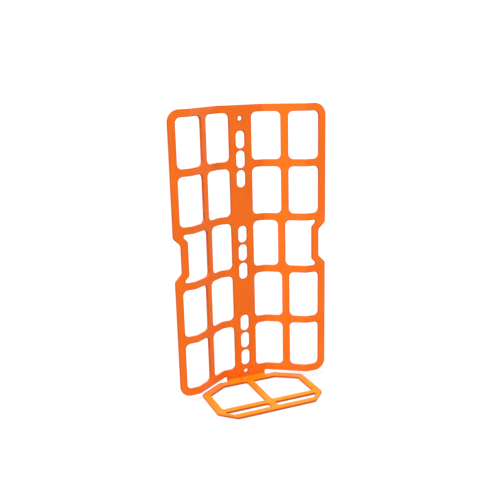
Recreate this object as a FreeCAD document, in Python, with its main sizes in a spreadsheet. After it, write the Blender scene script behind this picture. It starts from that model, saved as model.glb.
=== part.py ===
"""Load cage for a three-bolt mount: one laser-cut sheet, folded along five lines.

The sheet is divided at its folds into four sub-parts that meet face to face:
    spine        flat centre strip with the bolt slots
    right_wing   lattice of windows in two facets, folded forwards and then back
    left_wing    mirror image of the right wing
    foot_shelf   tab, fold and flat shelf that carries the load

Millimetres. +Z is up, the load sits on the -Y side of the spine, +X is the right wing's side.
The origin is on the ground, under the middle of the bounding box.
"""

import FreeCAD, Part
import math
import os
import re
import Sketcher
from FreeCAD import Placement, Rotation, Vector

DIMENSIONS = [
    ("sheet_thickness", 1.6, "thickness of the sheet"),
    ("panel_base", 4.4, "height of the panel's lower edge above the ground"),
    ("panel_height", 189.0, "spine and wings, lower edge to upper edge"),
    ("corner_radius", 7.7, "outer corners of the wings"),
    ("spine_edge", 14.5, "half width of the spine and of the tab below it"),
    ("fold_position", 16.5, "middle of the spine to the corner of the inner fold"),
    ("inner_facet", 28.75, "corner of the inner fold to corner of the outer fold"),
    ("outer_facet", 13.95, "corner of the outer fold to the side edge"),
    ("inner_fold_angle", 34.0, "degrees, forwards"),
    ("outer_fold_angle", 30.0, "degrees, back again"),
    ("wing_fold_radius", 5.0, "both wing folds, at the middle of the sheet"),
    ("spine_half", 8.0, "middle of the spine to the inner windows"),
    ("inner_window_end", 12.0, "from the inner fold's corner, along the inner facet"),
    ("outer_window_start", 17.0, "from the inner fold's corner, along the inner facet"),
    ("outer_window_end", 9.0, "from the outer fold's corner, along the outer facet"),
    ("middle_rail_shift", 2.5, "middle row: its upright stands nearer to the spine"),
    ("bottom_rail", 4.9, "lower edge of the panel to the lowest window"),
    ("window_height", 32.2, "windows of the lower four rows"),
    ("top_window_height", 31.7, "windows of the top row"),
    ("row_pitch", 36.9, "window to window"),
    ("window_radius", 3.5, "corners of the windows"),
    ("notch_depth", 4.9, "strap notch in the side edge, at the middle row"),
    ("notch_half", 9.3, "half of the notch's straight bottom"),
    ("notch_radius", 2.8, "rounding of the notch's four corners"),
    ("notch_tip_radius", 1.4, "sharp corners of the windows beside the notches"),
    ("slot_width", 6.4, "bolt slots, across"),
    ("slot_length", 11.7, "bolt slots, end to end"),
    ("slot_pitch", 13.0, "slot to slot within a group of three"),
    ("group_pitch", 64.0, "group to group, the common three-bolt spacing"),
    ("lowest_group", 30.0, "height of the lowest group's middle slot"),
    ("pilot_diameter", 3.0, "small holes near the spine's ends"),
    ("lower_pilot", 6.5, "height of the lower small hole"),
    ("upper_pilot", 184.8, "height of the upper small hole"),
    ("foot_fold_radius", 1.2, "inside radius of the fold under the spine"),
    ("foot_reach", 53.8, "middle of the spine's sheet to the shelf's front edge"),
    ("foot_half", 38.1, "half width of the shelf"),
    ("foot_cut_start", 21.6, "middle of the shelf to the start of its slanted back edge"),
    ("foot_chamfer", 10.2, "cut front corners of the shelf"),
    ("foot_radius", 4.0, "rounding of the shelf's outer corners"),
    ("rib_half", 2.3, "half width of the shelf's middle rib"),
    ("shelf_window_back", 7.4, "middle of the spine's sheet to the shelf windows"),
    ("shelf_window_front", 39.4, "the same, to their front edge"),
    ("shelf_window_side", 33.2, "middle of the shelf to the outer side of its windows"),
    ("shelf_window_cut", 19.6, "middle of the shelf to the start of their cut corner"),
    ("shelf_window_radius", 1.8, "corners of the shelf windows"),
    ("strap_slot_back", 43.8, "middle of the spine's sheet to the strap slots"),
    ("strap_slot_front", 49.3, "the same, to their front edge"),
    ("strap_slot_outer", 28.5, "middle of the shelf to the outer end of their front edge"),
    ("strap_slot_radius", 1.8, "corners of the strap slots"),
    ("strap_tip_radius", 0.9, "their sharp outer corner"),
]
ROWS = 5
MIDDLE_ROW = 2

doc = FreeCAD.newDocument("load_cage")
sizes = doc.addObject("Spreadsheet::Sheet", "Sizes")
for line, (alias, number, note) in enumerate(DIMENSIONS, start=1):
    sizes.set(f"A{line}", str(number))
    sizes.setAlias(f"A{line}", alias)
    sizes.set(f"B{line}", note)
doc.recompute()


def bind(text):
    """The text with each dimension's name turned into a reference to its cell."""
    return re.sub(r"\b[a-z]+(_[a-z]+)+\b", lambda found: "Sizes." + found.group(), text)


def measure(text):
    """The number that an expression gives now."""
    return float(sizes.evalExpression(bind(text)))


# Recurring lengths, as expressions.
HALF_SHEET = "(sheet_thickness / 2)"
OUTER_RUN = "(wing_fold_radius * tan(outer_fold_angle / 2))"
TIP_ANGLE = "(inner_fold_angle - outer_fold_angle)"
PANEL_TOP = "(panel_base + panel_height)"
OUTER_FOLD_X = "(fold_position + inner_facet * cos(inner_fold_angle))"
OUTER_FOLD_FORWARD = "(inner_facet * sin(inner_fold_angle))"
FOOT_BACK = f"({HALF_SHEET} + foot_fold_radius)"


def new_body(label):
    """An empty body, placed so that the finished cage is centred on the origin front to back."""
    body = doc.addObject("PartDesign::Body", label)
    body.Label = label
    body.setExpression("Placement.Base.y", bind(f"(foot_reach - {HALF_SHEET}) / 2"))
    return body


def new_sketch(body, name, plane, shift=("0", "0", "0"), turn="0"):
    """A sketch on one of the body's planes, moved and turned about the sketch's own Y axis."""
    sketch = body.newObject("Sketcher::SketchObject", name)
    support = [item for item in body.Origin.OriginFeatures if item.Role == plane]
    sketch.AttachmentSupport = [(support[0], "")]
    sketch.MapMode = "FlatFace"
    sketch.AttachmentOffset = Placement(Vector(), Rotation(Vector(0, 1, 0), 1.0))
    for axis, length in zip("xyz", shift):
        sketch.setExpression(f"AttachmentOffset.Base.{axis}", bind(length))
    sketch.setExpression("AttachmentOffset.Rotation.Angle", bind(turn))
    return sketch


def fix_point(sketch, geometry, vertex, x, y):
    """Ties a vertex to its place, measured from the sketch's origin."""
    for kind, length in (("DistanceX", x), ("DistanceY", y)):
        number = sketch.addConstraint(
            Sketcher.Constraint(kind, -1, 1, geometry, vertex, measure(length))
        )
        sketch.setExpression(f"Constraints[{number}]", bind(length))


def fix_radius(sketch, geometry, radius):
    number = sketch.addConstraint(Sketcher.Constraint("Radius", geometry, measure(radius)))
    sketch.setExpression(f"Constraints[{number}]", bind(radius))


def rounding(before, corner, after, radius):
    """Start, end and centre of the arc that rounds a corner."""
    back = (before - corner).normalize()
    ahead = (after - corner).normalize()
    half = back.getAngle(ahead) / 2
    cut = radius / math.tan(half)
    centre = corner + (back + ahead).normalize() * (radius / math.sin(half))
    return corner + back * cut, corner + ahead * cut, centre


def add_outline(sketch, corners):
    """A closed outline through corners (x, y, radius), anticlockwise, radius None if sharp."""
    points = [Vector(measure(x), measure(y), 0) for x, y, _ in corners]
    count = len(corners)
    starts, ends, centres = list(points), list(points), [None] * count
    for i, (_, _, radius) in enumerate(corners):
        if radius:
            before, after = points[i - 1], points[(i + 1) % count]
            starts[i], ends[i], centres[i] = rounding(before, points[i], after, measure(radius))
    lines = [
        sketch.addGeometry(Part.LineSegment(ends[i], starts[(i + 1) % count]), False)
        for i in range(count)
    ]
    for i, (x, y, radius) in enumerate(corners):
        before, after = lines[i - 1], lines[i]
        if not radius:
            sketch.addConstraint(Sketcher.Constraint("Coincident", before, 2, after, 1))
            fix_point(sketch, after, 1, x, y)
            continue
        incoming = points[i] - points[i - 1]
        outgoing = points[(i + 1) % count] - points[i]
        turns_left = incoming.cross(outgoing).z > 0
        first, last = (starts[i], ends[i]) if turns_left else (ends[i], starts[i])
        circle = Part.Circle(centres[i], Vector(0, 0, 1), measure(radius))
        arc = sketch.addGeometry(
            Part.ArcOfCircle(circle, circle.parameter(first), circle.parameter(last)), False
        )
        arc_in, arc_out = (1, 2) if turns_left else (2, 1)
        sketch.addConstraint(Sketcher.Constraint("Tangent", before, 2, arc, arc_in))
        sketch.addConstraint(Sketcher.Constraint("Tangent", arc, arc_out, after, 1))
        fix_radius(sketch, arc, radius)
        corner = sketch.addGeometry(Part.Point(points[i]), True)
        sketch.addConstraint(Sketcher.Constraint("PointOnObject", corner, 1, before))
        sketch.addConstraint(Sketcher.Constraint("PointOnObject", corner, 1, after))
        fix_point(sketch, corner, 1, x, y)


def add_upright_slot(sketch, x, y, width, length):
    """A slot with round ends, centred on (x, y), its length along the sketch's Y."""
    radius = f"({width} / 2)"
    reach = f"(({length} - {width}) / 2)"
    upper = Vector(measure(x), measure(f"{y} + {reach}"), 0)
    lower = Vector(measure(x), measure(f"{y} - {reach}"), 0)
    side = Vector(measure(radius), 0, 0)
    axis = Vector(0, 0, 1)
    top = sketch.addGeometry(
        Part.ArcOfCircle(Part.Circle(upper, axis, side.x), 0, math.pi), False
    )
    left = sketch.addGeometry(Part.LineSegment(upper - side, lower - side), False)
    bottom = sketch.addGeometry(
        Part.ArcOfCircle(Part.Circle(lower, axis, side.x), math.pi, 2 * math.pi), False
    )
    right = sketch.addGeometry(Part.LineSegment(lower + side, upper + side), False)
    for before, after in ((top, left), (left, bottom), (bottom, right), (right, top)):
        sketch.addConstraint(Sketcher.Constraint("Tangent", before, 2, after, 1))
    sketch.addConstraint(Sketcher.Constraint("Equal", top, bottom))
    fix_radius(sketch, top, radius)
    fix_point(sketch, top, 3, x, f"{y} + {reach}")
    fix_point(sketch, bottom, 3, x, f"{y} - {reach}")


def pad(body, name, sketch, length, symmetric=False):
    feature = body.newObject("PartDesign::Pad", name)
    feature.Profile = sketch
    feature.SideType = "Symmetric" if symmetric else "One side"
    feature.setExpression("Length", bind(length))
    return feature


def cut(body, name, sketch):
    """Cuts the sketch's outlines through the sheet, both ways from the sketch's plane."""
    feature = body.newObject("PartDesign::Pocket", name)
    feature.Profile = sketch
    feature.SideType = "Symmetric"
    feature.setExpression("Length", bind("20 * sheet_thickness"))
    return feature


def round_edges(body, name, places, radius):
    """Fillets the edges of the body whose middles lie at the given places."""
    doc.recompute()
    base = body.Tip
    found = [
        f"Edge{number}"
        for number, edge in enumerate(base.Shape.Edges, start=1)
        if any((edge.CenterOfMass - place).Length < 0.01 for place in places)
    ]
    if len(found) != len(places):
        raise RuntimeError(f"{name}: {len(found)} edges found for {len(places)} places")
    feature = body.newObject("PartDesign::Fillet", name)
    feature.Base = (base, found)
    feature.setExpression("Radius", bind(radius))
    return feature


def window_rows():
    """Lower edge, upper edge and inward shift of the uprights for each row of windows."""
    for row in range(ROWS):
        low = f"(panel_base + bottom_rail + {row} * row_pitch)"
        shift = "middle_rail_shift" if row == MIDDLE_ROW else "0"
        height = "top_window_height" if row == ROWS - 1 else "window_height"
        yield low, f"({low} + {height})", shift


def add_window(sketch, start, end, low, high, round_start, round_end):
    """A window's outline, with its corners rounded at the ends that are asked for."""
    at_start = "window_radius" if round_start else None
    at_end = "window_radius" if round_end else None
    add_outline(
        sketch,
        [
            (start, low, at_start),
            (end, low, at_end),
            (end, high, at_end),
            (start, high, at_start),
        ],
    )


def make_spine():
    body = new_body("spine")
    plate = new_sketch(body, "SpineOutline", "XZ_Plane")
    add_outline(
        plate,
        [
            ("-spine_edge", "panel_base", None),
            ("spine_edge", "panel_base", None),
            ("spine_edge", PANEL_TOP, None),
            ("-spine_edge", PANEL_TOP, None),
        ],
    )
    pad(body, "SpinePlate", plate, "sheet_thickness", symmetric=True)

    ends = new_sketch(body, "WindowEnds", "XZ_Plane")
    for low, high, _ in window_rows():
        add_window(ends, "spine_half", "2 * spine_edge", low, high, True, False)
    right_ends = cut(body, "RightWindowEnds", ends)
    left_ends = body.newObject("PartDesign::Mirrored", "LeftWindowEnds")
    left_ends.Originals = [right_ends]
    planes = [item for item in body.Origin.OriginFeatures if item.Role == "YZ_Plane"]
    left_ends.MirrorPlane = (planes[0], [""])
    body.Tip = left_ends

    group = new_sketch(body, "SlotGroup", "XZ_Plane")
    for step in (-1, 0, 1):
        height = f"(lowest_group + {step} * slot_pitch)"
        add_upright_slot(group, "0", height, "slot_width", "slot_length")
    lowest = cut(body, "LowestSlots", group)
    slots = body.newObject("PartDesign::LinearPattern", "SlotGroups")
    slots.Originals = [lowest]
    axes = [item for item in body.Origin.OriginFeatures if item.Role == "Z_Axis"]
    slots.Direction = (axes[0], [""])
    slots.setExpression("Length", bind("2 * group_pitch"))
    slots.Occurrences = 3
    body.Tip = slots

    pilots = new_sketch(body, "PilotHoles", "XZ_Plane")
    for height in ("lower_pilot", "upper_pilot"):
        place = Vector(0, measure(height), 0)
        radius = measure("pilot_diameter / 2")
        hole = pilots.addGeometry(Part.Circle(place, Vector(0, 0, 1), radius), False)
        fix_radius(pilots, hole, "pilot_diameter / 2")
        fix_point(pilots, hole, 3, "0", height)
    cut(body, "Pilots", pilots)
    return body


def wing_corner(along_inner, along_outer, offset, mean_angle, half_turn):
    """A corner of the wing's cross-section, at an offset from the middle of the sheet."""
    x = f"fold_position + {along_inner} * cos(inner_fold_angle)"
    x += f" + {along_outer} * cos({TIP_ANGLE})"
    x += f" + {offset} * sin({mean_angle}) / cos({half_turn})"
    y = f"-{along_inner} * sin(inner_fold_angle)"
    y += f" - {along_outer} * sin({TIP_ANGLE})"
    y += f" + {offset} * cos({mean_angle}) / cos({half_turn})"
    return x, y


def wing_section():
    """The wing's cross-section from above: its front side outwards, then its back side home."""
    outer_mean = "(inner_fold_angle - outer_fold_angle / 2)"
    sides = []
    for sign in ("-", ""):
        offset = f"({sign}{HALF_SHEET})"
        opposite = "-" if sign == "" else ""
        root = ("spine_edge", offset, None)
        inner = wing_corner("0", "0", offset, "(inner_fold_angle / 2)", "(inner_fold_angle / 2)")
        outer = wing_corner("inner_facet", "0", offset, outer_mean, "(outer_fold_angle / 2)")
        tip = wing_corner("inner_facet", "outer_facet", offset, TIP_ANGLE, "0")
        inner_radius = f"(wing_fold_radius + {offset})"
        outer_radius = f"(wing_fold_radius - {offset})"
        side = [root, (*inner, inner_radius), (*outer, outer_radius), (*tip, None)]
        sides.append(side)
    front, back = sides
    return front + back[::-1]


def on_outer_facet(along, height):
    """A point in the middle of the sheet on the outer facet, in the wing's own frame."""
    x = measure(f"{OUTER_FOLD_X} + {along} * cos({TIP_ANGLE})")
    y = measure(f"-{OUTER_FOLD_FORWARD} - {along} * sin({TIP_ANGLE})")
    return Vector(x, y, measure(height))


def make_right_wing():
    body = new_body("right_wing")
    section = new_sketch(body, "WingSection", "XY_Plane", ("0", "0", "panel_base"))
    add_outline(section, wing_section())
    pad(body, "FoldedSheet", section, "panel_height")

    corners = [on_outer_facet("outer_facet", height) for height in ("panel_base", PANEL_TOP)]
    round_edges(body, "OuterCorners", corners, "corner_radius")

    # Windows are cut square to each facet, so a window across a fold takes two cuts that overlap.
    inner_facet = new_sketch(
        body, "InnerFacetWindows", "XZ_Plane", ("fold_position", "0", "0"), "-inner_fold_angle"
    )
    outer_facet = new_sketch(
        body,
        "OuterFacetWindows",
        "XZ_Plane",
        (OUTER_FOLD_X, "0", OUTER_FOLD_FORWARD),
        f"-{TIP_ANGLE}",
    )
    middle = f"(panel_base + bottom_rail + {MIDDLE_ROW} * row_pitch + window_height / 2)"
    for row, (low, high, shift) in enumerate(window_rows()):
        end = f"inner_window_end - {shift}"
        start = f"outer_window_start - {shift}"
        past_fold = f"inner_facet + {OUTER_RUN}"
        add_window(inner_facet, "-fold_position", end, low, high, False, True)
        add_window(inner_facet, start, past_fold, low, high, True, False)
        if row != MIDDLE_ROW:
            add_window(outer_facet, f"-{OUTER_RUN}", "outer_window_end", low, high, False, True)
    # In the middle row, the window's outer side runs beside the notch, at the rail's width.
    inset = "(outer_window_end - notch_depth)"
    rail = "(outer_facet - outer_window_end)"
    bottom_half = f"(notch_half + {rail} * tan(22.5))"
    reach = f"({bottom_half} + notch_depth - window_height / 2)"
    tip = f"(outer_window_end - {reach})"
    half_window = "window_height / 2"
    add_outline(
        outer_facet,
        [
            (f"-{OUTER_RUN}", f"{middle} - {half_window}", None),
            (tip, f"{middle} - {half_window}", "notch_tip_radius"),
            (inset, f"{middle} - {bottom_half}", "notch_radius"),
            (inset, f"{middle} + {bottom_half}", "notch_radius"),
            (tip, f"{middle} + {half_window}", "notch_tip_radius"),
            (f"-{OUTER_RUN}", f"{middle} + {half_window}", None),
        ],
    )
    cut(body, "InnerFacetCuts", inner_facet)
    cut(body, "OuterFacetCuts", outer_facet)

    notch = new_sketch(
        body,
        "StrapNotch",
        "XZ_Plane",
        (OUTER_FOLD_X, "0", OUTER_FOLD_FORWARD),
        f"-{TIP_ANGLE}",
    )
    floor = "outer_facet - notch_depth"
    mouth = "(notch_half + notch_depth)"
    beyond = "(outer_facet + notch_depth)"
    wide = "(notch_half + 2 * notch_depth)"
    add_outline(
        notch,
        [
            (floor, f"{middle} - notch_half", "notch_radius"),
            (beyond, f"{middle} - {wide}", None),
            (beyond, f"{middle} + {wide}", None),
            (floor, f"{middle} + notch_half", "notch_radius"),
        ],
    )
    cut(body, "NotchCut", notch)
    mouths = [on_outer_facet("outer_facet", f"{middle} {sign} {mouth}") for sign in "-+"]
    round_edges(body, "NotchMouths", mouths, "notch_radius")
    return body


def make_left_wing(right_wing):
    wing = doc.addObject("Part::Mirroring", "left_wing")
    wing.Label = "left_wing"
    wing.Source = right_wing
    wing.Normal = Vector(1, 0, 0)
    return wing


def make_foot_shelf():
    body = new_body("foot_shelf")
    tab_end = f"-(shelf_window_back + {FOOT_BACK}) / 2"
    outside_radius = "foot_fold_radius + sheet_thickness"
    fold = new_sketch(body, "FoldSection", "YZ_Plane")
    add_outline(
        fold,
        [
            (HALF_SHEET, "panel_base", None),
            (f"-{HALF_SHEET}", "panel_base", None),
            (f"-{HALF_SHEET}", "sheet_thickness", "foot_fold_radius"),
            (tab_end, "sheet_thickness", None),
            (tab_end, "0", None),
            (HALF_SHEET, "0", outside_radius),
        ],
    )
    pad(body, "TabAndFold", fold, "2 * spine_edge", symmetric=True)

    # The slanted back edges run parallel to the wings above them.
    cut_depth = "(foot_half - foot_cut_start) * tan(inner_fold_angle)"
    right_side = [
        ("foot_half - foot_chamfer", "-foot_reach", "foot_radius"),
        ("foot_half", "-foot_reach + foot_chamfer", "foot_radius"),
        ("foot_half", f"-{FOOT_BACK} - {cut_depth}", "foot_radius"),
        ("foot_cut_start", f"-{FOOT_BACK}", None),
    ]
    left_side = [(f"-({x})", y, radius) for x, y, radius in reversed(right_side)]
    shelf = new_sketch(body, "ShelfOutline", "XY_Plane")
    add_outline(shelf, right_side + left_side)
    pad(body, "Shelf", shelf, "sheet_thickness")

    openings = new_sketch(body, "ShelfOpenings", "XY_Plane")
    slant = "(shelf_window_side - shelf_window_cut) * tan(inner_fold_angle)"
    window = [
        ("rib_half", "-shelf_window_front", "shelf_window_radius"),
        ("shelf_window_side", "-shelf_window_front", "shelf_window_radius"),
        ("shelf_window_side", f"-shelf_window_back - {slant}", "shelf_window_radius"),
        ("shelf_window_cut", "-shelf_window_back", "shelf_window_radius"),
        ("rib_half", "-shelf_window_back", "shelf_window_radius"),
    ]
    # The strap slots' outer ends run parallel to the cut front corners.
    strap_slot_tip = "strap_slot_outer + strap_slot_front - strap_slot_back"
    strap_slot = [
        ("rib_half", "-strap_slot_front", "strap_slot_radius"),
        ("strap_slot_outer", "-strap_slot_front", "strap_slot_radius"),
        (strap_slot_tip, "-strap_slot_back", "strap_tip_radius"),
        ("rib_half", "-strap_slot_back", "strap_slot_radius"),
    ]
    for opening in (window, strap_slot):
        add_outline(openings, opening)
        add_outline(openings, [(f"-({x})", y, radius) for x, y, radius in reversed(opening)])
    cut(body, "ShelfCuts", openings)
    return body


def check_document():
    """Stops unless every object recomputed cleanly and every sketch is fully tied down."""
    doc.recompute()
    for item in doc.Objects:
        if {"Invalid", "Error"} & set(item.State):
            raise RuntimeError(f"{item.Name} failed: {item.State}")
        if item.TypeId == "Sketcher::SketchObject" and not item.FullyConstrained:
            raise RuntimeError(f"{item.Name} is not fully constrained")


def export(part):
    shape = part.Shape
    if shape.isNull() or not shape.isValid() or len(shape.Solids) != 1:
        raise RuntimeError(f"{part.Label} is not one valid solid")
    shape.exportStep(f"parts/{part.Label}.step")
    print(part.Label, "volume", round(shape.Volume, 1), "box", shape.BoundBox)


spine = make_spine()
right_wing = make_right_wing()
left_wing = make_left_wing(right_wing)
foot_shelf = make_foot_shelf()
check_document()
os.makedirs("parts", exist_ok=True)
for sub_part in (spine, right_wing, left_wing, foot_shelf):
    export(sub_part)
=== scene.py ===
"""Powder-coated load cage: one laser-cut sheet with folds, shown as the four regions between its folds.

Each region is drawn flat, as an outline with openings, given rounded edges, and then bent round the
folds. Lengths are millimetres until a mesh or a lamp is made.
"""

import math

import bmesh
import bpy
import numpy as np
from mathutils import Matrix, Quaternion, Vector
from mathutils.geometry import delaunay_2d_cdt


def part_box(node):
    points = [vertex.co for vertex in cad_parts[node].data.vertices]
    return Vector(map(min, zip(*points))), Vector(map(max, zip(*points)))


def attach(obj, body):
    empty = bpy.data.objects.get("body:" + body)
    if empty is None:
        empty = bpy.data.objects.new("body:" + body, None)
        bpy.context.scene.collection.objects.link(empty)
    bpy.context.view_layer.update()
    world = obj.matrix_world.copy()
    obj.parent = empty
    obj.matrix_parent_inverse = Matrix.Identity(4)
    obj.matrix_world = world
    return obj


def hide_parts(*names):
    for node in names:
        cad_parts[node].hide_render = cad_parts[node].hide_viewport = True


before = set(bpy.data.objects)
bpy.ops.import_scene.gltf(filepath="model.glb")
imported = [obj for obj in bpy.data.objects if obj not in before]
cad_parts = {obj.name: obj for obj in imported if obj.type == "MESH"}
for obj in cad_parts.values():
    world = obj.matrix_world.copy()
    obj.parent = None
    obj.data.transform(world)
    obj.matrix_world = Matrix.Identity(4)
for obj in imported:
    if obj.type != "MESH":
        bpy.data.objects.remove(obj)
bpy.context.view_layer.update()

MM = 0.001


def box_mm(node):
    low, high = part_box(node)
    return low / MM, high / MM


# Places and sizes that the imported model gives.
SPINE_LOW, SPINE_HIGH = box_mm("spine")
SHELF_LOW, SHELF_HIGH = box_mm("foot_shelf")
SHEET = SPINE_HIGH.y - SPINE_LOW.y
SHEET_MIDDLE_Y = (SPINE_LOW.y + SPINE_HIGH.y) / 2
SPINE_EDGE = SPINE_HIGH.x
PANEL_BASE, PANEL_TOP = SPINE_LOW.z, SPINE_HIGH.z
SHELF_HALF = SHELF_HIGH.x
SHELF_REACH = SHEET_MIDDLE_Y - SHELF_LOW.y

# Folds, at the middle of the sheet: turns in radians, radii and the lengths between the folds' corners.
INNER_TURN = math.radians(34)
OUTER_TURN = math.radians(30)
WING_FOLD_RADIUS = 5.0
INNER_FOLD = 16.5
INNER_FACET = 28.75
OUTER_FACET = 13.95
SHELF_FOLD_INSIDE = 1.2
SHELF_FOLD_RADIUS = SHELF_FOLD_INSIDE + SHEET / 2
TAB_LENGTH = PANEL_BASE - SHEET / 2 - SHELF_FOLD_RADIUS

# Windows of the wings: five rows, the inner column across the inner fold, the outer across the outer.
ROWS = 5
MIDDLE_ROW = 2
BOTTOM_RAIL = 4.9
ROW_PITCH = 36.9
WINDOW_HEIGHT = 32.2
TOP_WINDOW_HEIGHT = 31.7
WINDOW_RADIUS = 3.5
SPINE_HALF = 8.0
INNER_WINDOW_END = 12.0
OUTER_WINDOW_START = 17.0
OUTER_WINDOW_END = 9.0
MIDDLE_RAIL_SHIFT = 2.5
PANEL_CORNER = 7.7

# Strap notches in the side edges, at the middle row.
NOTCH_DEPTH = 4.9
NOTCH_HALF = 9.3
NOTCH_RADIUS = 2.8
NOTCH_TIP_RADIUS = 1.4
NOTCH_TURN = math.radians(45)

# Bolt slots and pilot holes of the spine.
SLOT_WIDTH = 6.4
SLOT_LENGTH = 11.7
SLOT_PITCH = 13.0
SLOT_GROUPS = 3
GROUP_PITCH = 64.0
LOWEST_GROUP = 30.0
PILOT_DIAMETER = 3.0
PILOT_HEIGHTS = (6.5, 184.8)

# Shelf, in distances forwards from the middle of the spine's sheet and sideways from the middle.
SHELF_CUT_START = 21.6
SHELF_CHAMFER = 10.2
SHELF_RADIUS = 4.0
RIB_HALF = 2.3
SHELF_WINDOW_BACK = 7.4
SHELF_WINDOW_FRONT = 39.4
SHELF_WINDOW_SIDE = 33.2
SHELF_WINDOW_CUT = 19.6
STRAP_SLOT_BACK = 43.8
STRAP_SLOT_FRONT = 49.3
STRAP_SLOT_OUTER = 28.5
SHELF_OPENING_RADIUS = 1.8
STRAP_TIP_RADIUS = 0.9
TAB_CORNER_RADIUS = 0.5
CUT_START_RADIUS = 1.5

# Finish of the cut edges, and how finely curves are drawn.
EDGE_RADIUS = 0.25
EDGE_BAND = 0.55
EDGE_STEPS = 4
ARC_STEP = math.radians(9)
FOLD_STEPS = 8
TINY = 1e-5

# Powder coat: linear colours, ranges of roughness, and noise scales in waves per metre.
COAT_DARK = (0.61, 0.100, 0.001)
COAT_LIGHT = (0.67, 0.116, 0.001)
# The edge colour below is painted shade on the cut walls and rounded edges, where the coat is also
# thinner.
COAT_EDGE_SHADE = (0.36, 0.055, 0.004)
COAT_IOR = 1.5
COAT_SPECULAR = 0.16
COAT_ROUGHNESS = (0.30, 0.38)
EDGE_COVER = (0.65, 1.0)
CLOUD_SCALE = 45
EDGE_PATCH_SCALE = 260
PEEL_SCALE = 700
PEEL_STRENGTH = 0.25
PEEL_DEPTH = 0.00004

# The range that most of a noise's values lie in.
NOISE_LOW, NOISE_HIGH = 0.3, 0.7

# Floor: linear colours, noise scale, radius in metres, sides, and how far it lies under the part.
FLOOR_DARK = (0.10, 0.10, 0.10)
FLOOR_LIGHT = (0.11, 0.11, 0.11)
FLOOR_ROUGHNESS = 0.9
FLOOR_CLOUD_SCALE = 3
FLOOR_RADIUS = 12
FLOOR_SIDES = 64
FLOOR_HEIGHT = -0.0001

# Camera: lens and sensor in millimetres, angles in degrees, and distance in metres.
LENS = 50.6
SENSOR = 36
NEAREST, FARTHEST = 0.01, 100
VIEW_AZIMUTH = -22.86
VIEW_ELEVATION = 14.79
VIEW_ROLL = -1.315
VIEW_TARGET = (-4.9, 2.1, 102.1)
VIEW_DISTANCE = 0.4565

# Light tent: brightness of its floor, wall and ceiling, the heights in degrees between which the wall
# fades into the ceiling, and how wide each lamp looks from the part.
FLOOR_GLOW = 0.72
WALL_GLOW = 1.05
CEILING_GLOW = 0.3
WALL_FADES_FROM = 24
WALL_FADES_TO = 45
LAMP_SPREAD = 40

# Lamps: azimuth and elevation in degrees, and strength.
LAMPS = {
    "overhead": (0, 88, 5.6),
    "key": (-75, 50, 4.7),
    "fill": (85, 15, 1.5),
}


def fold_run(radius, turn):
    """Distance from a fold's corner to where its bend starts."""
    return radius * math.tan(abs(turn) / 2)


def fold_saving(radius, turn):
    """How much shorter the way round a bend is than the way by its corner."""
    return 2 * fold_run(radius, turn) - radius * abs(turn)


INNER_RUN = fold_run(WING_FOLD_RADIUS, INNER_TURN)
OUTER_RUN = fold_run(WING_FOLD_RADIUS, OUTER_TURN)
INNER_SAVING = fold_saving(WING_FOLD_RADIUS, INNER_TURN)
OUTER_SAVING = fold_saving(WING_FOLD_RADIUS, OUTER_TURN)

# A path is a list of (length, turn) runs. Wings bend forwards and back, the shelf bends forwards once.
WING_PATH = [
    (INNER_FOLD - INNER_RUN, 0),
    (WING_FOLD_RADIUS * INNER_TURN, INNER_TURN),
    (INNER_FACET - INNER_RUN - OUTER_RUN, 0),
    (WING_FOLD_RADIUS * OUTER_TURN, -OUTER_TURN),
    (math.inf, 0),
]
SHELF_PATH = [
    (TAB_LENGTH, 0),
    (SHELF_FOLD_RADIUS * math.pi / 2, math.pi / 2),
    (math.inf, 0),
]


def follow(path, distance):
    """Place (along, forwards) and heading of the sheet's middle at each distance along a path."""
    along, forwards, heading = (np.zeros_like(distance) for _ in range(3))
    start = 0.0
    for length, turn in path:
        part = np.minimum(distance, length)
        distance = distance - part
        if turn:
            bend = turn / length
            angle = start + bend * part
            along += (np.sin(angle) - math.sin(start)) / bend
            forwards += (math.cos(start) - np.cos(angle)) / bend
            heading += bend * part
        else:
            along += math.cos(start) * part
            forwards += math.sin(start) * part
        start += turn
    return along, forwards, heading


def fold_lines(path):
    """Distances along a path where the sheet is divided, so that its bends come out round."""
    lines, start = [], 0.0
    for length, turn in path:
        if turn:
            lines += [start + length * step / FOLD_STEPS for step in range(FOLD_STEPS + 1)]
        start += length
    return lines


def from_inner_fold(distance):
    """Distance along the wing's path of an inner facet's point, given from the inner fold's corner."""
    return INNER_FOLD + distance - INNER_SAVING


def from_outer_fold(distance):
    """The same for the outer facet, from the outer fold's corner."""
    return INNER_FOLD + INNER_FACET + distance - INNER_SAVING - OUTER_SAVING


def on_shelf(distance):
    """Distance along the shelf's path, given forwards from the middle of the spine's sheet."""
    bend = SHELF_FOLD_RADIUS * math.pi / 2
    return TAB_LENGTH + bend + distance - SHELF_FOLD_RADIUS


# ---------------------------------------------------------------- outlines, drawn flat


def window_rows():
    """Lower edge, upper edge and inward shift of the uprights for each row of windows."""
    for row in range(ROWS):
        low = PANEL_BASE + BOTTOM_RAIL + row * ROW_PITCH
        height = TOP_WINDOW_HEIGHT if row == ROWS - 1 else WINDOW_HEIGHT
        yield low, low + height, MIDDLE_RAIL_SHIFT if row == MIDDLE_ROW else 0.0


def rectangle(low_along, high_along, low_across, high_across, radius):
    return [
        (low_along, low_across, radius),
        (high_along, low_across, radius),
        (high_along, high_across, radius),
        (low_along, high_across, radius),
    ]


def mirrored(corners):
    """The outline on the other side of the across axis's zero, walked the same way round."""
    return [(along, -across, radius) for along, across, radius in reversed(corners)]


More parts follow.
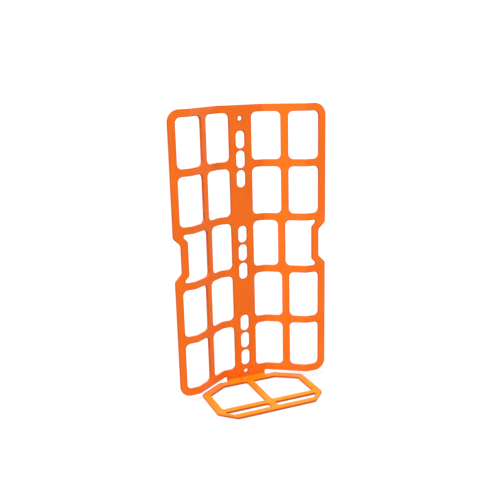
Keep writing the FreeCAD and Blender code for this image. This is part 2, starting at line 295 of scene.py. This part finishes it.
def spine_outlines():
    """Outer outline and openings of the spine: distance to the right, and height."""
    right = []
    for low, high, _ in window_rows():
        right += [
            (SPINE_EDGE, low, None),
            (SPINE_HALF, low, WINDOW_RADIUS),
            (SPINE_HALF, high, WINDOW_RADIUS),
            (SPINE_EDGE, high, None),
        ]
    left = [(-along, across, radius) for along, across, radius in reversed(right)]
    bottom = [(-SPINE_EDGE, PANEL_BASE, None), (SPINE_EDGE, PANEL_BASE, None)]
    top = [(SPINE_EDGE, PANEL_TOP, None), (-SPINE_EDGE, PANEL_TOP, None)]

    openings = []
    for group in range(SLOT_GROUPS):
        for step in (-1, 0, 1):
            middle = LOWEST_GROUP + group * GROUP_PITCH + step * SLOT_PITCH
            half, reach = SLOT_WIDTH / 2, SLOT_LENGTH / 2
            openings.append(rectangle(-half, half, middle - reach, middle + reach, half))
    for height in PILOT_HEIGHTS:
        half = PILOT_DIAMETER / 2
        openings.append(rectangle(-half, half, height - half, height + half, half))
    return bottom + right + top + left, openings


def wing_outlines():
    """Outer outline and openings of a wing: distance along its path, and height."""
    tip = from_outer_fold(OUTER_FACET)
    middle = PANEL_BASE + BOTTOM_RAIL + MIDDLE_ROW * ROW_PITCH + WINDOW_HEIGHT / 2
    floor = tip - NOTCH_DEPTH
    mouth = NOTCH_HALF + NOTCH_DEPTH
    outline = [
        (SPINE_EDGE, PANEL_BASE, None),
        (tip, PANEL_BASE, PANEL_CORNER),
        (tip, middle - mouth, NOTCH_RADIUS),
        (floor, middle - NOTCH_HALF, NOTCH_RADIUS),
        (floor, middle + NOTCH_HALF, NOTCH_RADIUS),
        (tip, middle + mouth, NOTCH_RADIUS),
        (tip, PANEL_TOP, PANEL_CORNER),
        (SPINE_EDGE, PANEL_TOP, None),
    ]
    for low, high, shift in reversed(list(window_rows())):
        end = from_inner_fold(INNER_WINDOW_END - shift)
        outline += [
            (SPINE_EDGE, high, None),
            (end, high, WINDOW_RADIUS),
            (end, low, WINDOW_RADIUS),
            (SPINE_EDGE, low, None),
        ]

    openings = []
    for row, (low, high, shift) in enumerate(window_rows()):
        start = from_inner_fold(OUTER_WINDOW_START - shift)
        end = from_outer_fold(OUTER_WINDOW_END)
        if row != MIDDLE_ROW:
            openings.append(rectangle(start, end, low, high, WINDOW_RADIUS))
            continue
        # Beside the notch, the window's outer side keeps the rail's width.
        rail = OUTER_FACET - OUTER_WINDOW_END
        inset = end - NOTCH_DEPTH
        half = NOTCH_HALF + rail * math.tan(NOTCH_TURN / 2)
        window_tip = end - (half + NOTCH_DEPTH - WINDOW_HEIGHT / 2)
        openings.append(
            [
                (start, low, WINDOW_RADIUS),
                (window_tip, low, NOTCH_TIP_RADIUS),
                (inset, middle - half, NOTCH_RADIUS),
                (inset, middle + half, NOTCH_RADIUS),
                (window_tip, high, NOTCH_TIP_RADIUS),
                (start, high, WINDOW_RADIUS),
            ]
        )
    return outline, openings


def shelf_outlines():
    """Outer outline and openings of the tab and shelf: distance along its path, and to the right."""
    back, front = on_shelf(SHELF_FOLD_RADIUS), on_shelf(SHELF_REACH)
    slope = math.tan(INNER_TURN)
    left = [
        (0.0, -SPINE_EDGE, None),
        (back, -SPINE_EDGE, TAB_CORNER_RADIUS),
        (back, -SHELF_CUT_START, CUT_START_RADIUS),
        (back + (SHELF_HALF - SHELF_CUT_START) * slope, -SHELF_HALF, SHELF_RADIUS),
        (front - SHELF_CHAMFER, -SHELF_HALF, SHELF_RADIUS),
        (front, SHELF_CHAMFER - SHELF_HALF, SHELF_RADIUS),
    ]
    window_back = on_shelf(SHELF_WINDOW_BACK)
    window_front = on_shelf(SHELF_WINDOW_FRONT)
    slant = (SHELF_WINDOW_SIDE - SHELF_WINDOW_CUT) * slope
    window = [
        (window_back, RIB_HALF, SHELF_OPENING_RADIUS),
        (window_front, RIB_HALF, SHELF_OPENING_RADIUS),
        (window_front, SHELF_WINDOW_SIDE, SHELF_OPENING_RADIUS),
        (window_back + slant, SHELF_WINDOW_SIDE, SHELF_OPENING_RADIUS),
        (window_back, SHELF_WINDOW_CUT, SHELF_OPENING_RADIUS),
    ]
    slot_back, slot_front = on_shelf(STRAP_SLOT_BACK), on_shelf(STRAP_SLOT_FRONT)
    slot = [
        (slot_back, RIB_HALF, SHELF_OPENING_RADIUS),
        (slot_front, RIB_HALF, SHELF_OPENING_RADIUS),
        (slot_front, STRAP_SLOT_OUTER, SHELF_OPENING_RADIUS),
        (slot_back, STRAP_SLOT_OUTER + slot_front - slot_back, STRAP_TIP_RADIUS),
    ]
    return left + mirrored(left), [window, mirrored(window), slot, mirrored(slot)]


# ---------------------------------------------------------------- from outline to mesh


def on_seam(first, last, seams):
    """True if both corners lie on one seam, where the next region of the sheet carries on."""
    return any(abs(first[axis] - at) < TINY and abs(last[axis] - at) < TINY for axis, at in seams)


def walk(corners, seams, lines):
    """Points round an outline.

    Each is (along, across, heading, whether a seam follows, number of the fold line it is on or None).
    """
    points, count = [], len(corners)
    for i, (along, across, radius) in enumerate(corners):
        before, after = corners[i - 1], corners[(i + 1) % count]
        heading = math.atan2(across - before[1], along - before[0])
        leaving = math.atan2(after[1] - across, after[0] - along)
        seam_after = on_seam(corners[i], after, seams)
        if not radius:
            if on_seam(before, corners[i], seams):
                heading = leaving
            points.append((along, across, heading, seam_after, None))
            continue
        turn = (leaving - heading + math.pi) % math.tau - math.pi
        cut = radius * math.tan(abs(turn) / 2)
        bend = math.copysign(radius, turn)
        middle_along = along - cut * math.cos(heading) - bend * math.sin(heading)
        middle_across = across - cut * math.sin(heading) + bend * math.cos(heading)
        steps = max(2, math.ceil(abs(turn) / ARC_STEP))
        for step in range(steps + 1):
            now = heading + turn * step / steps
            place = (middle_along + bend * math.sin(now), middle_across - bend * math.cos(now))
            points.append((*place, now, False, None))
    return without_repeats(divided(points, lines))


def divided(points, lines):
    """The points with one more wherever the outline crosses a fold line."""
    result = []
    for i, point in enumerate(points):
        result.append(point)
        after = points[(i + 1) % len(points)]
        crossings = [
            ((line - point[0]) / (after[0] - point[0]), number)
            for number, line in enumerate(lines)
            if (point[0] < line - TINY) != (after[0] < line - TINY)
        ]
        for share, number in sorted(crossings):
            across = point[1] + share * (after[1] - point[1])
            result.append((lines[number], across, point[2], point[3], number))
    return result


def without_repeats(points):
    """The points with each that lies on the one before joined to it."""
    joined = []
    for i, point in enumerate(points):
        after = points[(i + 1) % len(points)]
        if math.dist(point[:2], after[:2]) > TINY:
            joined.append(point)
        elif after[4] is None:
            points[(i + 1) % len(points)] = (*after[:4], point[4])
    return joined


def edge_profile():
    """(inset, drop, tilt) from the flat face to the middle of the cut edge."""
    profile = [(EDGE_BAND, 0.0, 0.0)]
    for step in range(EDGE_STEPS + 1):
        tilt = math.pi / 2 * step / EDGE_STEPS
        profile.append((EDGE_RADIUS * (1 - math.sin(tilt)), EDGE_RADIUS * (1 - math.cos(tilt)), tilt))
    return profile


def inside(places, loops):
    """Whether each place is in the material, by how many outlines a line from it crosses."""
    result = np.zeros(len(places), bool)
    for loop in loops:
        start, end = loop, np.roll(loop, -1, axis=0)
        for (a0, b0), (a1, b1) in zip(start, end):
            if b0 == b1:
                continue
            spans = (places[:, 1] < b0) != (places[:, 1] < b1)
            crossing = a0 + (places[:, 1] - b0) / (b1 - b0) * (a1 - a0)
            result ^= spans & (places[:, 0] < crossing)
    return result


class FlatSheet:
    """Vertices and faces of one region of the sheet, still flat."""

    def __init__(self):
        self.places = []
        self.heights = []
        self.normals = []
        self.edge = []
        self.faces = []
        self.caps = []

    def vertex(self, along, across, height, normal, edge):
        self.places.append((along, across))
        self.heights.append(height)
        self.normals.append(normal)
        self.edge.append(edge)
        return len(self.places) - 1

    def ring(self, point, free):
        """The edge's cross-section at a point of the outline, from the front face to the back face."""
        along, across, heading = point[:3]
        if not free:
            sides = [(SHEET / 2, 1.0), (-SHEET / 2, -1.0)]
            return [self.vertex(along, across, height, (0, 0, up), 0.0) for height, up in sides]
        out = (math.sin(heading), -math.cos(heading))
        front, back = [], []
        for inset, drop, tilt in edge_profile():
            place = (along - out[0] * inset, across - out[1] * inset)
            flat = (out[0] * math.sin(tilt), out[1] * math.sin(tilt))
            # 1 on the rounded edge and cut wall, where the darker colour of painted shade goes.
            edge_shaded = 0.0 if inset == EDGE_BAND else 1.0
            height, up = SHEET / 2 - drop, math.cos(tilt)
            front.append(self.vertex(*place, height, (*flat, up), edge_shaded))
            back.append(self.vertex(*place, -height, (*flat, -up), edge_shaded))
        return front + back[::-1]

    def border(self, points):
        """Rounded edges along an outline, and a flat end at each seam. Returns the rings."""
        rings = [
            self.ring(point, not (point[3] and points[i - 1][3])) for i, point in enumerate(points)
        ]
        for i, point in enumerate(points):
            ring, after = rings[i], rings[(i + 1) % len(rings)]
            if point[3]:
                self.caps.append(len(self.faces))
                self.faces.append(ring + after[::-1])
                continue
            for k in range(len(ring) - 1):
                self.faces.append([ring[k], after[k], after[k + 1], ring[k + 1]])
        return rings

    def fill(self, borders, line_count):
        """The front and back faces between the outlines, divided along the fold lines."""
        rings = [ring for _, loop in borders for ring in loop]
        points = [point for loop, _ in borders for point in loop]
        edges, first = [], 0
        for _, loop in borders:
            edges += [(first + i, first + (i + 1) % len(loop)) for i in range(len(loop))]
            first += len(loop)
        for number in range(line_count):
            crossed = [i for i, point in enumerate(points) if point[4] == number]
            crossed.sort(key=lambda i: points[i][1])
            edges += list(zip(crossed[::2], crossed[1::2]))
        places = np.array([self.places[ring[0]] for ring in rings])
        made = delaunay_2d_cdt([Vector(p) for p in places], edges, [], 0, TINY)
        source = [found[0] for found in made[3]]
        triangles = np.array([[source[corner] for corner in face] for face in made[2]])
        loops, first = [], 0
        for _, loop in borders:
            loops.append(places[first : first + len(loop)])
            first += len(loop)
        kept = triangles[inside(places[triangles].mean(axis=1), loops)]
        for triangle in kept:
            self.faces.append([rings[corner][0] for corner in triangle])
            self.faces.append([rings[corner][-1] for corner in triangle[::-1]])


def flat_region(outline, openings, seams, path):
    """One region of the sheet, from its corners to flat vertices and faces."""
    sheet = FlatSheet()
    lines = fold_lines(path)
    borders = []
    for corners in [outline, *openings]:
        # The outer outline runs anticlockwise and openings clockwise, so the material is on the left.
        area = sum(
            a[0] * b[1] - b[0] * a[1] for a, b in zip(corners, corners[1:] + corners[:1])
        )
        if (area > 0) != (corners is outline):
            corners = corners[::-1]
        points = walk(corners, seams, lines)
        borders.append((points, sheet.border(points)))
    sheet.fill(borders, len(lines))
    return sheet


def bent(sheet, path, to_row):
    """Vertices and normals in the row frame. to_row turns (along, forwards, across) into (x, y, z)."""
    places = np.array(sheet.places)
    heights = np.array(sheet.heights)
    normals = np.array(sheet.normals)
    along, forwards, heading = follow(path, places[:, 0])
    ahead = np.stack([np.cos(heading), np.sin(heading)], axis=1)
    facing = np.stack([-np.sin(heading), np.cos(heading)], axis=1)
    middle = np.stack([along, forwards], axis=1) + heights[:, None] * facing
    leaning = normals[:, :1] * ahead + normals[:, 2:] * facing
    turned = to_row(leaning[:, 0], leaning[:, 1], normals[:, 1])
    start = to_row(np.zeros(1), np.zeros(1), np.zeros(1))
    return to_row(middle[:, 0], middle[:, 1], places[:, 1]), turned - start


def make_mesh(name, sheet, vertices, normals):
    """A closed mesh with exact normals, and an attribute which is 1 on the rounded edges and cut walls,
    for the painted shade there.
    """
    mesh = bpy.data.meshes.new(name)
    mesh.from_pydata((vertices * MM).tolist(), [], sheet.faces)
    solid = bmesh.new()
    solid.from_mesh(mesh)
    bmesh.ops.recalc_face_normals(solid, faces=solid.faces)
    solid.faces.ensure_lookup_table()
    for face in solid.faces:
        face.smooth = True
    for number in sheet.caps:
        for edge in solid.faces[number].edges:
            edge.smooth = False
    solid.to_mesh(mesh)
    solid.free()
    # Marks where the painted edge shade goes.
    edge_shade_attribute = mesh.attributes.new("edge_shade_and_thin_coat", "FLOAT", "POINT")
    edge_shade_attribute.data.foreach_set("value", np.array(sheet.edge, np.float32))
    caps = set(sheet.caps)
    split = []
    for polygon in mesh.polygons:
        ends = [(0, 0, 0)] * len(polygon.vertices)
        split += ends if polygon.index in caps else [normals[v] for v in polygon.vertices]
    mesh.normals_split_custom_set(split)
    return mesh


def add_piece(name, node, outlines, seams, path, to_row, material):
    """One region of the sheet as a finished piece that stands for its CAD node."""
    outline, openings = outlines
    sheet = flat_region(outline, openings, seams, path)
    vertices, normals = bent(sheet, path, to_row)
    mesh = make_mesh(name, sheet, vertices, normals)
    mesh.materials.append(material)
    piece = bpy.data.objects.new(name, mesh)
    bpy.context.scene.collection.objects.link(piece)
    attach(piece, "root")
    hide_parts(node)
    return piece


def panel_place(side):
    """Puts the panel's path on the right (side 1) or on the left (side -1)."""
    return lambda along, forwards, across: np.stack(
        [side * along, SHEET_MIDDLE_Y - forwards, across], axis=1
    )


def shelf_place(along, forwards, across):
    """The shelf's path runs down from the panel's lower edge and then forwards."""
    return np.stack([across, SHEET_MIDDLE_Y - forwards, PANEL_BASE - along], axis=1)


# ---------------------------------------------------------------- material


def new_material(name):
    material = bpy.data.materials.new(name)
    material.use_nodes = True
    return material, material.node_tree.nodes, material.node_tree.links


def noise(nodes, links, coordinates, scale, detail, roughness=0.5):
    """A noise texture in object space. Scale is in waves per metre."""
    node = nodes.new("ShaderNodeTexNoise")
    node.inputs["Scale"].default_value = scale
    node.inputs["Detail"].default_value = detail
    node.inputs["Roughness"].default_value = roughness
    links.new(coordinates, node.inputs["Vector"])
    return node.outputs["Fac"]


def spread(nodes, links, value, low, high):
    """The value, from the middle of a noise's range, spread out between low and high."""
    node = nodes.new("ShaderNodeMapRange")
    node.inputs["From Min"].default_value = NOISE_LOW
    node.inputs["From Max"].default_value = NOISE_HIGH
    node.inputs["To Min"].default_value = low
    node.inputs["To Max"].default_value = high
    links.new(value, node.inputs["Value"])
    return node.outputs["Result"]


def blend_colour(nodes, links, share, first, second):
    """A colour between two, each an (r, g, b) or a socket."""
    node = nodes.new("ShaderNodeMix")
    node.data_type = "RGBA"
    links.new(share, node.inputs["Factor"])
    for slot, colour in (("A", first), ("B", second)):
        socket = next(s for s in node.inputs if s.name == slot and s.type == "RGBA")
        if isinstance(colour, tuple):
            socket.default_value = (*colour, 1)
        else:
            links.new(colour, socket)
    return next(s for s in node.outputs if s.type == "RGBA")


def powder_coat():
    """Satin orange powder coat: a fine orange peel, faint clouding, and darker edges, which are painted
    shade on the cut walls and a thinner coat there.
    """
    material, nodes, links = new_material("orange_powder_coat")
    shader = nodes["Principled BSDF"]
    coordinates = nodes.new("ShaderNodeTexCoord").outputs["Object"]

    clouds = spread(nodes, links, noise(nodes, links, coordinates, CLOUD_SCALE, 3), 0, 1)
    colour = blend_colour(nodes, links, clouds, COAT_DARK, COAT_LIGHT)
    # Painted shade on the cut walls and rounded edges, in patches, where the coat is also thinner.
    edge_shade_attribute = nodes.new("ShaderNodeAttribute")
    edge_shade_attribute.attribute_name = "edge_shade_and_thin_coat"
    patches = spread(nodes, links, noise(nodes, links, coordinates, EDGE_PATCH_SCALE, 2), *EDGE_COVER)
    edge_shade_amount = nodes.new("ShaderNodeMath")
    edge_shade_amount.operation = "MULTIPLY"
    links.new(edge_shade_attribute.outputs["Fac"], edge_shade_amount.inputs[0])
    links.new(patches, edge_shade_amount.inputs[1])
    colour = blend_colour(nodes, links, edge_shade_amount.outputs["Value"], colour, COAT_EDGE_SHADE)
    links.new(colour, shader.inputs["Base Color"])

    fine = noise(nodes, links, coordinates, PEEL_SCALE, 2)
    gloss = spread(nodes, links, fine, *COAT_ROUGHNESS)
    links.new(gloss, shader.inputs["Roughness"])
    shader.inputs["IOR"].default_value = COAT_IOR
    shader.inputs["Specular IOR Level"].default_value = COAT_SPECULAR

    peel = nodes.new("ShaderNodeBump")
    peel.inputs["Strength"].default_value = PEEL_STRENGTH
    peel.inputs["Distance"].default_value = PEEL_DEPTH
    links.new(fine, peel.inputs["Height"])
    links.new(peel.outputs["Normal"], shader.inputs["Normal"])
    return material


# ---------------------------------------------------------------- stage, light and camera


def add_floor():
    """A wide light table: a pale matt floor that glows a little, so the part's shadow is faint."""
    material, nodes, links = new_material("pale_floor")
    shader = nodes["Principled BSDF"]
    coordinates = nodes.new("ShaderNodeTexCoord").outputs["Object"]
    clouds = spread(nodes, links, noise(nodes, links, coordinates, FLOOR_CLOUD_SCALE, 2), 0, 1)
    colour = blend_colour(nodes, links, clouds, FLOOR_DARK, FLOOR_LIGHT)
    links.new(colour, shader.inputs["Base Color"])
    shader.inputs["Emission Color"].default_value = (1, 1, 1, 1)
    shader.inputs["Emission Strength"].default_value = FLOOR_GLOW
    shader.inputs["Roughness"].default_value = FLOOR_ROUGHNESS
    shader.inputs["Specular IOR Level"].default_value = 0.0
    mesh = bpy.data.meshes.new("floor")
    turns = [math.tau * side / FLOOR_SIDES for side in range(FLOOR_SIDES)]
    rim = [
        (FLOOR_RADIUS * math.cos(turn), FLOOR_RADIUS * math.sin(turn), FLOOR_HEIGHT)
        for turn in turns
    ]
    mesh.from_pydata(rim, [], [list(range(FLOOR_SIDES))])
    mesh.materials.append(material)
    floor = bpy.data.objects.new("floor", mesh)
    bpy.context.scene.collection.objects.link(floor)


def add_soft_light(name, azimuth, elevation, strength):
    """Broad, soft light from one direction, as from a large diffuser. Angles are degrees."""
    lamp = bpy.data.lights.new(name, "SUN")
    lamp.energy = strength
    lamp.angle = math.radians(LAMP_SPREAD)
    lit = bpy.data.objects.new(name, lamp)
    lit.rotation_mode = "QUATERNION"
    lit.rotation_quaternion = (-direction_from(azimuth, elevation)).to_track_quat("-Z", "Y")
    bpy.context.scene.collection.objects.link(lit)


def direction_from(azimuth, elevation):
    """Unit vector from the part towards a viewer. Azimuth 0 is in front of it, 90 on its right."""
    a, e = math.radians(azimuth), math.radians(elevation)
    return Vector((math.sin(a) * math.cos(e), -math.cos(a) * math.cos(e), math.sin(e)))


def add_camera():
    """The photograph's viewpoint: in front, to the left and a little above."""
    data = bpy.data.cameras.new("camera")
    data.lens = LENS
    data.sensor_width = SENSOR
    data.clip_start = NEAREST
    data.clip_end = FARTHEST
    camera = bpy.data.objects.new("camera", data)
    back = direction_from(VIEW_AZIMUTH, VIEW_ELEVATION)
    target = Vector(VIEW_TARGET) * MM
    camera.location = target + back * VIEW_DISTANCE
    camera.rotation_mode = "QUATERNION"
    roll = Quaternion((0, 0, 1), math.radians(VIEW_ROLL))
    camera.rotation_quaternion = (-back).to_track_quat("-Z", "Y") @ roll
    bpy.context.scene.collection.objects.link(camera)
    bpy.context.scene.camera = camera


def set_world():
    """A light tent: white all round near the horizon, and dimmer overhead."""
    world = bpy.data.worlds.new("light_tent")
    world.use_nodes = True
    nodes, links = world.node_tree.nodes, world.node_tree.links
    background = nodes["Background"]
    background.inputs["Color"].default_value = (1, 1, 1, 1)
    height = nodes.new("ShaderNodeSeparateXYZ")
    links.new(nodes.new("ShaderNodeTexCoord").outputs["Generated"], height.inputs["Vector"])
    fade = nodes.new("ShaderNodeMapRange")
    fade.interpolation_type = "SMOOTHSTEP"
    fade.inputs["From Min"].default_value = math.sin(math.radians(WALL_FADES_FROM))
    fade.inputs["From Max"].default_value = math.sin(math.radians(WALL_FADES_TO))
    fade.inputs["To Min"].default_value = WALL_GLOW
    fade.inputs["To Max"].default_value = CEILING_GLOW
    links.new(height.outputs["Z"], fade.inputs["Value"])
    links.new(fade.outputs["Result"], background.inputs["Strength"])
    bpy.context.scene.world = world
    bpy.context.scene.view_settings.view_transform = "Standard"


coat = powder_coat()
wing_seams = [(0, SPINE_EDGE)]
spine_seams = [(0, SPINE_EDGE), (0, -SPINE_EDGE), (1, PANEL_BASE)]
add_piece("spine_sheet", "spine", spine_outlines(), spine_seams, WING_PATH[:1], panel_place(1), coat)
add_piece("right_wing_sheet", "right_wing", wing_outlines(), wing_seams, WING_PATH, panel_place(1), coat)
add_piece("left_wing_sheet", "left_wing", wing_outlines(), wing_seams, WING_PATH, panel_place(-1), coat)
add_piece("foot_shelf_sheet", "foot_shelf", shelf_outlines(), [(0, 0.0)], SHELF_PATH, shelf_place, coat)

add_floor()
for lamp_name, (azimuth, elevation, strength) in LAMPS.items():
    add_soft_light(lamp_name, azimuth, elevation, strength)
set_world()
add_camera()
